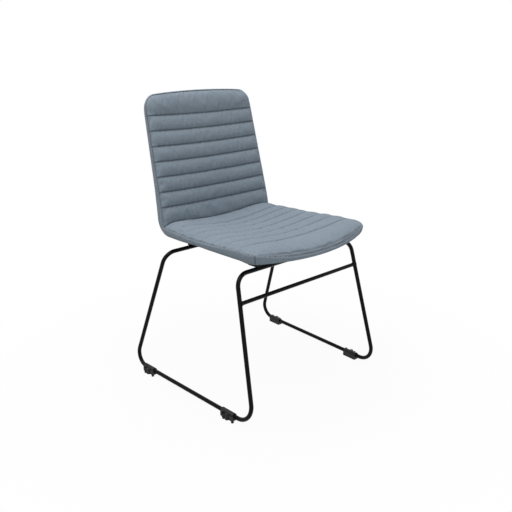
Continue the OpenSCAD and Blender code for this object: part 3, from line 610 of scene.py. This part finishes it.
def nylonFinish(name):
    made = Finish(name)
    where = made.place()
    sparked = made.noise(where, nylon["sparked"], 2.0)
    scuff = made.noise(where, nylon["scuff"], 5.0, 0.75) - nylon["scuffFrom"]
    scuff = scuff.maths("MAXIMUM", 0.0) * nylon["scuffGain"]
    scuffed = tuple(c * 4 + 0.015 for c in nylon["colour"])
    shade = made.blend(scuff.clipped() * nylon["scuffShare"], nylon["colour"], scuffed)
    rough = nylon["roughness"] + scuff * 0.2 + sparked * 0.08
    return made.surface({"Base Color": shade, "Roughness": rough,
                         "Normal": made.bump(sparked, 0.2, 0.0002),
                         "Specular IOR Level": nylon["shine"]})


# beech plywood, its grain stretched along X
beech = {"pale": (0.62, 0.45, 0.28), "brown": (0.42, 0.27, 0.14), "stretch": (4.0, 60.0, 60.0),
         "grain": 3.0, "pores": 22.0, "roughness": 0.62}


def plywoodFinish(name):
    made = Finish(name)
    stretched = made.node("ShaderNodeMapping", {}, {"Vector": made.place(), "Scale": beech["stretch"]})
    grain = made.noise(stretched, beech["grain"], 6.0, 0.65)
    pores = made.noise(stretched, beech["pores"], 3.0, 0.8)
    share = (grain * 1.3 + pores * 0.3 - 0.35).clipped()
    return made.surface({"Base Color": made.blend(share, beech["pale"], beech["brown"]),
                         "Roughness": beech["roughness"], "Normal": made.bump(pores, 0.2, 0.0003)})


rodCoat = powderCoat("rodCoat", coat["black"], 0.24, 520.0)
weldCoat = powderCoat("weldCoat", coat["black"], 0.32, 260.0)
boltBlack = powderCoat("boltBlack", (0.02, 0.02, 0.022), 0.4, 800.0)
zincPlate = platedFinish("zincPlate")
glideNylon = nylonFinish("glideNylon")
beechPly = plywoodFinish("beechPly")

finishOf = {rodCoat: ["left_sled_rod", "right_sled_rod", "front_brace",
                      "front_mounting_tabs", "rear_mounting_tabs"],
            weldCoat: ["crossbar_butt_welds", "brace_welds", "tab_welds"],
            boltBlack: ["shell_bolts"],
            zincPlate: ["shell_washers", "tee_nuts", "glide_screws"],
            beechPly: ["plywood_shell"],
            glideNylon: ["left_front_glide", "left_rear_glide", "right_front_glide", "right_rear_glide",
                         "glide_soles"]}
for finish, nodes in finishOf.items():
    for name in nodes:
        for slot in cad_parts[name].material_slots:
            slot.material = finish
print("finishes done")

# quilted seat and back: puffs and seams in millimetres, the painted shade of seams, stitch row, rim and
# crease, and the swelling of the cloth
quilt = {"halfAcross": 58, "acrossPower": 0.9, "channelRows": 10, "panelRows": 14, "frontRows": 4,
         "start": 0.7, "extra": 2.0, "seatSide": 8, "backSide": 20, "swell": 2.4,
         "seamWidth": 1.7, "seamDepth": 1.3, "seamShade": 0.95, "seamCrease": 0.7,
         "sideFade": 0.36, "sideDepth": 0.3, "seatShadeLow": 0.2, "seatShadeHigh": 0.75,
         "edgeShade": 0.9, "edgeShadeWidth": 1.1, "creaseShade": 0.85, "creaseShadeWidth": 2.2,
         "pucker": 0.3, "puckerLength": 17, "puckerReach": 7,
         "puckerTurn": 2.1, "puckerDrift": 1.3, "puckerDriftLength": 23,
         "rowInset": 5.5, "rowDepth": 1.3, "rowWidth": 1.2, "rowShade": 0.6, "rowEnd": 6,
         "gather": 1.3, "gatherLength": 15, "gatherDrift": 0.8, "gatherDriftLength": 31,
         "gatherEnd": 20, "gatherLow": 0.3, "gatherFrom": -0.2, "gatherOver": 0.5, "gatherWidth": 2.5,
         "noseBulge": 0.2, "roll": 1.2, "rollWidth": 3.0, "rimFade": 25,
         "valley": 1.0, "valleyDrop": 0.6, "valleyWidth": 1.6,
         "bulge": 1.5, "bulgeSpot": 3.5, "bulgeWidth": 3, "bulgeDrop": 3.5,
         "pressure": 6.0, "mass": 0.02, "stretch": 12, "shear": 6, "bending": 0.3, "slack": -0.02,
         "frames": 20, "cap": 2.6}


def puffAt(lines, v, u, plainBay, share):
    # height of a channel, or of a plain panel, over its seams
    bay = max(i for i in range(len(lines) - 1) if v >= lines[i] - 1e-6)
    k = (v - lines[bay]) / (lines[bay + 1] - lines[bay])
    high = shell["panelPuff"] if bay == plainBay else shell["channelPuff"]
    side = quilt["seatSide"]
    if lines[0] > 0:
        high, side = high + quilt["extra"], quilt["backSide"]
    return share * high * (1 - abs(2 * min(1, k) - 1) ** quilt["swell"]) * (1 - abs(u) ** side)


def puckerAt(x, away, lane):
    # small gathers that run out from a seam on both sides
    drift = quilt["puckerDrift"] * math.sin(x / quilt["puckerDriftLength"] + lane)
    wave = math.sin(2 * math.pi * x / quilt["puckerLength"] + quilt["puckerTurn"] * lane + drift)
    return quilt["pucker"] * wave * hump(away, quilt["puckerReach"])


def gatherAt(x, u, sideAway, frontAway):
    # gathers between the front seam and the row of stitches behind it, weaker on the right
    drift = quilt["gatherDrift"] * math.sin(x / quilt["gatherDriftLength"])
    wave = math.sin(2 * math.pi * x / quilt["gatherLength"] + drift)
    right = ease((u - quilt["gatherFrom"]) / quilt["gatherOver"])
    high = quilt["gather"] * ease(sideAway / quilt["gatherEnd"]) * mix(1, quilt["gatherLow"], right)
    return high * wave * hump(frontAway - quilt["rowInset"] / 2, quilt["gatherWidth"])


def swellCloth(piece, held):
    # the cloth swells between its sewn seams, which stay where they are
    group = piece.vertex_groups.new(name="held")
    group.add(held, 1.0, "REPLACE")
    before = [vert.co.copy() for vert in piece.data.vertices]
    swelling = piece.modifiers.new("swell", "CLOTH")
    settings = swelling.settings
    settings.vertex_group_mass = "held"
    settings.mass = quilt["mass"]
    settings.tension_stiffness = settings.compression_stiffness = quilt["stretch"]
    settings.shear_stiffness = quilt["shear"]
    settings.bending_stiffness = quilt["bending"]
    settings.shrink_min = quilt["slack"]
    settings.use_pressure = True
    settings.uniform_pressure_force = quilt["pressure"]
    settings.effector_weights.gravity = 0
    for step in range(1, quilt["frames"] + 1):
        scene.frame_set(step)
    swollen = piece.evaluated_get(bpy.context.evaluated_depsgraph_get()).to_mesh()
    after = [vert.co.copy() for vert in swollen.vertices]
    piece.modifiers.remove(swelling)
    scene.frame_set(1)
    most = quilt["cap"] / 1000
    lengths = []
    for vert, a, b in zip(piece.data.vertices, before, after):
        shift = b - a
        lengths.append(shift.length)
        vert.co = a + shift * min(1, most / max(shift.length, 1e-9))
    lengths.sort()
    median, longest = lengths[round((len(lengths) - 1) / 2)], lengths[-1]
    print("swollen", piece.name, "median and most, mm:",
          round(median * 1000, 2), round(longest * 1000, 2))


def quiltedPad(name, lines, along, plainBay, replaced):
    bm, alongLayer, acrossLayer = clothGrid(along, acrossSteps(quilt["halfAcross"], quilt["acrossPower"]))
    shade = bm.verts.layers.float.new("seamShade")
    seams = lines[1:-1]
    onSeat = lines[0] == 0
    length = depth if onSeat else backLength
    startShare = quilt["start"]
    for vert in bm.verts:
        v, u = vert[alongLayer], vert[acrossLayer]
        x = u * halfWidth(v)
        sideAway = (1 - abs(u)) * halfWidth(v)
        lane = min(range(len(seams)), key=lambda i: abs(v - seams[i]))
        seamAway = abs(v - seams[lane]) * length
        seam = hump(seamAway, quilt["seamWidth"])
        fade = ease((1 - abs(u)) / quilt["sideFade"]) if onSeat else 1
        rise = puffAt(lines, v, u, plainBay, startShare) + puckerAt(x, seamAway, lane) * fade
        rise -= quilt["seamDepth"] * seam * mix(quilt["sideDepth"], 1, fade)
        # painted shade in the seam grooves, weaker towards the seat's sides
        seamShadeShare = mix(quilt["seatShadeLow"], quilt["seatShadeHigh"], fade) if onSeat else 1
        vert[shade] = quilt["seamShade"] * seam * seamShadeShare
        if onSeat:
            frontAway = v * length
            front = hump(frontAway - quilt["rowInset"], quilt["rowWidth"])
            front *= ease(sideAway / quilt["rowEnd"])
            rise -= quilt["rowDepth"] * front
            rise += gatherAt(x, u, sideAway, frontAway)
            # painted shade in the groove of the front stitch row
            vert[shade] = max(vert[shade], quilt["rowShade"] * front)
            # the rim rolls down into the valley of the edge seam
            edgeAway = min(sideAway, frontAway)
            rim = ease((1 - v) * length / quilt["rimFade"])
            rise += quilt["roll"] * (1 - hump(edgeAway, quilt["rollWidth"])) * rim
            rise -= quilt["valleyDrop"] * hump(edgeAway, quilt["valleyWidth"]) * rim
            # painted shade along the valley of the edge seam
            vert[shade] = max(vert[shade], quilt["edgeShade"] * hump(edgeAway, quilt["edgeShadeWidth"]))
        rimAway = sideAway if onSeat else min(sideAway, (2 - v) * length)
        rolled = max(0, 1 - rimAway / shell["rimRoll"]) ** 2
        rise -= max(sharesAt(rimDrops, v) * rolled, frontRoll(u, v * length))
        creaseAway = abs(v - 1) * length
        # painted shade along the crease between seat and back
        vert[shade] = max(vert[shade], quilt["creaseShade"] * hump(creaseAway, quilt["creaseShadeWidth"]))
        vert.co = fromSeat(v, u, -rise)
        bulge = quilt["bulge"] * hump(sideAway - quilt["bulgeSpot"], quilt["bulgeWidth"])
        bulge *= ease(sideAway / quilt["bulgeWidth"])
        bulge /= quilt["bulgeDrop"]
        bulge += shell["rimOut"] * max(0, 1 - sideAway / shell["rimRoll"]) ** 2
        vert.co.x += math.copysign(bulge * sharesAt(rimDrops, v), u)
        if onSeat:
            drawn = quilt["valley"] * rim
            vert.co.x -= math.copysign(hump(sideAway, quilt["valleyWidth"]), u) * drawn
            vert.co.y += hump(frontAway, quilt["valleyWidth"]) * drawn
            nose = hump(frontAway - quilt["rowInset"], quilt["rowInset"])
            vert.co.y -= quilt["noseBulge"] * frontDrop(u) * nose
    layChart(bm, lambda vert: (vert[acrossLayer] * halfWidth(vert[alongLayer]), vert[alongLayer] * length))
    heldRows = {round(v, 6) for v in along if min(abs(v - s) for s in seams) < 1e-5}
    heldRows |= {round(along[0], 6), round(along[-1], 6)}
    bm.verts.index_update()
    heldVerts = [vert.index for vert in bm.verts
                 if round(vert[alongLayer], 6) in heldRows or abs(vert[acrossLayer]) > 0.999]
    turnOut(bm, min(bm.verts, key=lambda vert: abs(vert[acrossLayer]) + abs(vert[alongLayer] - seams[3])),
            Vector((0, -1, 1)))
    bmesh.ops.scale(bm, vec=(0.001, 0.001, 0.001), verts=bm.verts)
    data = bpy.data.meshes.new("draft")
    bm.to_mesh(data)
    draft = bpy.data.objects.new(name + "Draft", data)
    scene.collection.objects.link(draft)
    swellCloth(draft, heldVerts)
    bm.verts.ensure_lookup_table()
    for vert, done in zip(bm.verts, data.vertices):
        vert.co = done.co * 1000
    bpy.data.objects.remove(draft)
    bpy.data.meshes.remove(data)
    # creased seams, and a closed underside that lies on the plywood
    crease = bm.edges.layers.float.new("crease_edge")
    for edge in bm.edges:
        a, b = edge.verts
        if edge.is_boundary:
            edge[crease] = 1.0
        elif abs(a[alongLayer] - b[alongLayer]) < 1e-7 and round(a[alongLayer], 6) in heldRows:
            edge[crease] = quilt["seamCrease"]
    topEdges = [edge for edge in bm.edges if edge.is_boundary]
    under = bmesh.ops.duplicate(bm, geom=bm.verts[:] + bm.edges[:] + bm.faces[:])["geom"]
    firm = shell["rearCover"] + shell["plywood"] + 2 * shell["gap"]
    underEdges = [part for part in under if isinstance(part, bmesh.types.BMEdge) and part.is_boundary]
    for part in under:
        if isinstance(part, bmesh.types.BMVert):
            v, u = max(innerFront, min(innerTop, part[alongLayer])), part[acrossLayer]
            part.co = fromOutside(v, u * halfWidth(v, lap) / halfWidth(v), firm)
            part[shade] = 0
    bmesh.ops.reverse_faces(bm, faces=[part for part in under if isinstance(part, bmesh.types.BMFace)])
    bmesh.ops.bridge_loops(bm, edges=topEdges + underEdges)
    piece = addPiece(name, bm, seatCloth, replaced, levels=1)


rowShare = quilt["rowInset"] / depth
afterCrease = 1 + shell["gap"] / backLength
seatRuns = [closeSteps(0, rowShare, quilt["frontRows"]),
            closeSteps(rowShare, seatSeams[0], quilt["panelRows"])]
seatRuns += channelSteps(seatSeams + [1 - shell["gap"] / depth], quilt["channelRows"])
backRuns = channelSteps([afterCrease] + backSeams, quilt["channelRows"])
backRuns += [closeSteps(backSeams[-1], 2, quilt["panelRows"])]
# the plain panels are the first one of the seat and the last one of the back
quiltedPad("quiltedSeat", seatLines, chain(*seatRuns), 0, ("quilted_seat_cover", "seat_foam"))
quiltedPad("quiltedBack", backLines, chain(*backRuns), shell["seams"],
           ("quilted_back_cover", "back_foam"))

# edge bands: the sewn strips round the rim of the shell, and how much painted shade darkens their dents,
# seams, ends, notches, lower border and underside
band = {"seatPuff": 3.2, "backPuff": 5.8, "topPuff": 3.0, "puffPower": 2.6,
        "profile": 26, "profilePower": 1.35, "panelRows": 14, "channelRows": 8, "topRows": 20,
        "topAcross": 40, "frontAcross": 48, "cornerRows": 6, "wall": 0.8,
        "seatWelt": 5, "backWelt": 4, "lip": 0.8, "groove": 1.3, "grooveWidth": 1.1, "start": 0.5,
        "joint": 0.022, "endWidth": 0.9, "endDepth": 0.7, "notch": 0.9, "notchReach": 3.5,
        "backFrom": 0.985, "backOver": 0.07, "topFrom": 1.85, "topOver": 0.12,
        "sideEnd": 1.9, "sideOver": 0.08, "seamWidth": 1.1, "lowWidth": 1.4,
        "seatDentShade": 0.9, "backDentShade": 0.7, "seamShade": 0.8, "lowShadeTop": 0.12, "lowShadeSide": 0.6,
        "endShade": 0.8, "underShadeSeat": 0.12, "underShadeBack": 0.05, "seatNotchShade": 0.2, "backNotchShade": 0.85}


def onBackShare(v):
    return ease((v - band["backFrom"]) / band["backOver"])


def onSideShare(v):
    return 1 - ease((v - band["sideEnd"]) / band["sideOver"])


def inside(v, u):
    # a place well inside the shell, to tell outwards from inwards
    k, w = mix(v, 1, 0.12), u * 0.88
    return (upper(k, w) + lower(k, w)) / 2


def bandStations(path):
    # upper and lower border points and the outward direction at each place of a band
    drops = [band["start"] + max(sharesAt(rimDrops, v), frontRoll(u, v * depth)) for v, u in path]
    tops = [fromSeat(v, u, drop) for (v, u), drop in zip(path, drops)]
    lows = [fromOutside(v, u, band["start"]) for v, u in path]
    mids = [(a + b) / 2 for a, b in zip(tops, lows)]
    outs = []
    for i, (v, u) in enumerate(path):
        run = mids[min(i + 1, len(mids) - 1)] - mids[max(i - 1, 0)]
        out = (lows[i] - tops[i]).cross(run).normalized()
        outs.append(out if out.dot(mids[i] - inside(v, u)) > 0 else -out)
    return tops, lows, outs


def notchAt(v, down):
    # the ends of the channel seams run a little way over the rim
    if v >= 2 or v <= 0:
        return 0
    nearest = min(abs(v - s) * (depth if s < 1 else backLength) for s in seatSeams + backSeams)
    return hump(nearest, quilt["seamWidth"]) * hump(down, band["notchReach"])


def bandLift(v, down, high):
    # how far the band stands out at a depth below its upper border
    back = onBackShare(v)
    welt = mix(band["seatWelt"], band["backWelt"], back)
    puff = mix(band["seatPuff"], band["backPuff"], back)
    puff = mix(puff, band["topPuff"], ease((v - band["topFrom"]) / band["topOver"]))
    lift = puff * (1 - abs(2 * down / high - 1) ** band["puffPower"])
    if down < welt:
        lift += band["lip"] * math.sin(math.pi * down / welt)
    lift += shell["rimOut"] * sharesAt(rimDrops, v) * (1 - down / high)
    lift -= band["notch"] * notchAt(v, down)
    groove = band["groove"] * onSideShare(v)
    return lift - groove * hump(down - band["backWelt"] * back, band["grooveWidth"])


def bandPlace(path, tops, lows, outs, i, down):
    high = (lows[i] - tops[i]).length
    return mix(tops[i], lows[i], down / high) + outs[i] * bandLift(path[i][0], down, high)


def edgeBand(name, path, replaced):
    tops, lows, outs = bandStations(path)
    count = band["profile"]
    profile = [(i / count) ** band["profilePower"] for i in range(count + 1)]
    bm, alongLayer, acrossLayer = clothGrid(list(range(len(path))), profile)
    shade = bm.verts.layers.float.new("seamShade")
    walked = walkAlong(tops)
    highs = [(b - a).length for a, b in zip(tops, lows)]
    for vert in bm.verts:
        i, t = round(vert[alongLayer]), vert[acrossLayer]
        v, high = path[i][0], highs[i]
        back, side = onBackShare(v), onSideShare(v)
        down = t * high
        dent = hump(down - band["backWelt"] * back, band["grooveWidth"])
        ends = max(hump(walked[i], band["endWidth"]), hump(walked[-1] - walked[i], band["endWidth"]))
        # painted shade: darker in the groove, along the back's seam line, at the lower border, at the ends
        # and notches, and towards the band's underside
        vert[shade] = max(dent * mix(band["seatDentShade"], band["backDentShade"] * side, back),
                          hump(down, band["seamWidth"]) * band["seamShade"] * back * side,
                          hump(high - down, band["lowWidth"]) * mix(band["lowShadeTop"], band["lowShadeSide"], side),
                          ends * band["endShade"],
                          ease(2 * t - 1.0) * mix(band["underShadeSeat"], band["underShadeBack"], back),
                          notchAt(v, down) * mix(band["seatNotchShade"], band["backNotchShade"], back))
        vert.co = bandPlace(path, tops, lows, outs, i, down) - outs[i] * ends * band["endDepth"]

    def chartPlace(vert):
        i = round(vert[alongLayer])
        return walked[i], vert[acrossLayer] * highs[i]

    layChart(bm, chartPlace)
    bm.verts.ensure_lookup_table()
    half = len(path) // 2
    middle = min(bm.verts, key=lambda vert: abs(vert[alongLayer] - half) + abs(vert[acrossLayer] - 0.5))
    turnOut(bm, middle, outs[half])
    bmesh.ops.solidify(bm, geom=bm.faces[:], thickness=shell["boxing"] * band["wall"])
    addPiece(name, bm, edgeCloth, replaced, levels=1)


sideRuns = chain(closeSteps(band["joint"], seatSeams[0], band["panelRows"]),
                 *channelSteps(seatSeams, band["channelRows"]),
                 closeSteps(seatSeams[-1], 1, band["panelRows"]),
                 closeSteps(1, backSeams[0], band["panelRows"]),
                 *channelSteps(backSeams, band["channelRows"]),
                 closeSteps(backSeams[-1], 2.0, band["topRows"]))
topRun = evenSteps(-1, 1, band["topAcross"])[1:-1]
outerPath = [(v, -1.0) for v in sideRuns] + [(2.0, u) for u in topRun]
outerPath += [(v, 1.0) for v in reversed(sideRuns)]
cornerRun = closeSteps(0, band["joint"], band["cornerRows"])
frontRun = evenSteps(-1, 1, band["frontAcross"])[1:-1]
frontPath = [(v, -1.0) for v in reversed(cornerRun)] + [(0.0, u) for u in frontRun]
frontPath += [(v, 1.0) for v in cornerRun]
edgeBand("outerBand", outerPath, ("left_boxing", "right_boxing", "top_boxing"))
edgeBand("noseBand", frontPath, ("front_boxing",))

# the plain cover behind the back and under the seat: rows from one place to the next, and the painted shade
# along its rim seam
rear = {"acrossHalf": 36, "seamWidth": 1.5, "topFade": 20, "topShade": 0.2, "chartLength": 390, "wall": 0.9}
rearRuns = [closeSteps(0, 0.25, 14), evenSteps(0.25, 0.88, 30), evenSteps(0.88, 1.14, 30),
            evenSteps(1.14, 1.8, 30), closeSteps(1.8, 2, 12)]


def rearSkin():
    bm, alongLayer, acrossLayer = clothGrid(chain(*rearRuns), acrossSteps(rear["acrossHalf"]))
    shade = bm.verts.layers.float.new("seamShade")
    for vert in bm.verts:
        v, u = vert[alongLayer], vert[acrossLayer]
        vert.co = lower(v, u)
        topAway = (2 - v) * backLength
        # painted shade along the rim seam, fading out near the top, with a faint line along the top
        rim = hump(min((1 - abs(u)) * halfWidth(v), v * depth), rear["seamWidth"])
        vert[shade] = max(rim * ease(topAway / rear["topFade"]),
                          hump(topAway, rear["seamWidth"]) * rear["topShade"])
    layChart(bm, lambda vert: (vert[acrossLayer] * halfWidth(vert[alongLayer]),
                               vert[alongLayer] * rear["chartLength"]))
    bm.verts.ensure_lookup_table()
    middle = min(bm.verts, key=lambda vert: abs(vert[alongLayer] - 1.5) + abs(vert[acrossLayer]))
    turnOut(bm, middle, Vector((0, 1, 0)))
    bmesh.ops.solidify(bm, geom=bm.faces[:], thickness=shell["rearCover"] * rear["wall"])
    addPiece("rearPanel", bm, rearCloth, ("rear_cover",), levels=1)


rearSkin()

# stitches: one small capsule for each stitch, with the finer ones in the channels
stitch = {"pitch": 4.8, "length": 3.3, "radius": 0.42,
          "edgePitch": 8.0, "edgeLength": 5.4, "edgeRadius": 0.65,
          "halfAcross": 60, "seatReach": 0.93, "backReach": 0.995, "lift": 0.75,
          "weltDown": 0.3, "weltOut": 0.35, "rowHalf": 50, "rowEnd": 2, "rowLift": 0.7}


def sewRow(bm, points, outs, pitch, length, radius):
    walked = walkAlong(points)
    count = int(walked[-1] / pitch)
    i = 0
    for n in range(count):
        reached = (n + 0.5) * walked[-1] / count
        while walked[i + 1] < reached:
            i += 1
        k = (reached - walked[i]) / (walked[i + 1] - walked[i])
        run = (points[i + 1] - points[i]).normalized()
        up = mix(outs[i], outs[i + 1], k)
        side = up.cross(run).normalized()
        up = run.cross(side)
        place = Matrix((run * length / 2, side * radius, up * radius)).transposed().to_4x4()
        place.translation = mix(points[i], points[i + 1], k)
        bmesh.ops.create_icosphere(bm, subdivisions=1, radius=1, matrix=place)
    return count


def seamStitches():
    bm = bmesh.new()
    count = 0
    half = stitch["halfAcross"]
    across = [i / half for i in range(1 - half, half)]
    for v in seatSeams + backSeams:
        reach = stitch["seatReach"] if v < 1 else stitch["backReach"]
        points = [fromSeat(v, u * reach, quilt["seamDepth"] - stitch["lift"]) for u in across]
        outs = [(upper(v, u * reach) - lower(v, u * reach)).normalized() for u in across]
        count += sewRow(bm, points, outs, stitch["pitch"], stitch["length"], stitch["radius"])
    print("stitches in the channels:", count)
    addPiece("channelStitches", bm, seamThread)


def rimStitches():
    bm = bmesh.new()
    count = 0
    for path in (outerPath, frontPath):
        tops, lows, outs = bandStations(path)
        downs = [band["backWelt"] * onBackShare(v) + stitch["weltDown"] for v, u in path]
        points = [bandPlace(path, tops, lows, outs, i, down) + outs[i] * stitch["weltOut"]
                  for i, down in enumerate(downs)]
        count += sewRow(bm, points, outs, stitch["edgePitch"], stitch["edgeLength"], stitch["edgeRadius"])
    half = stitch["rowHalf"]
    across = [i / half for i in range(stitch["rowEnd"] - half, half + 1 - stitch["rowEnd"])]
    sunk = quilt["rowDepth"] - stitch["rowLift"]
    points = [fromSeat(rowShare, u, sunk + frontRoll(u, quilt["rowInset"])) for u in across]
    for point, u in zip(points, across):
        point.y -= quilt["noseBulge"] * frontDrop(u)
    outs = [(upper(rowShare, u) - lower(rowShare, u)).normalized() for u in across]
    count += sewRow(bm, points, outs, stitch["edgePitch"], stitch["edgeLength"], stitch["edgeRadius"])
    print("stitches round the rim:", count)
    addPiece("rimStitches", bm, edgeThread)


seamStitches()
rimStitches()
print("upholstery done")
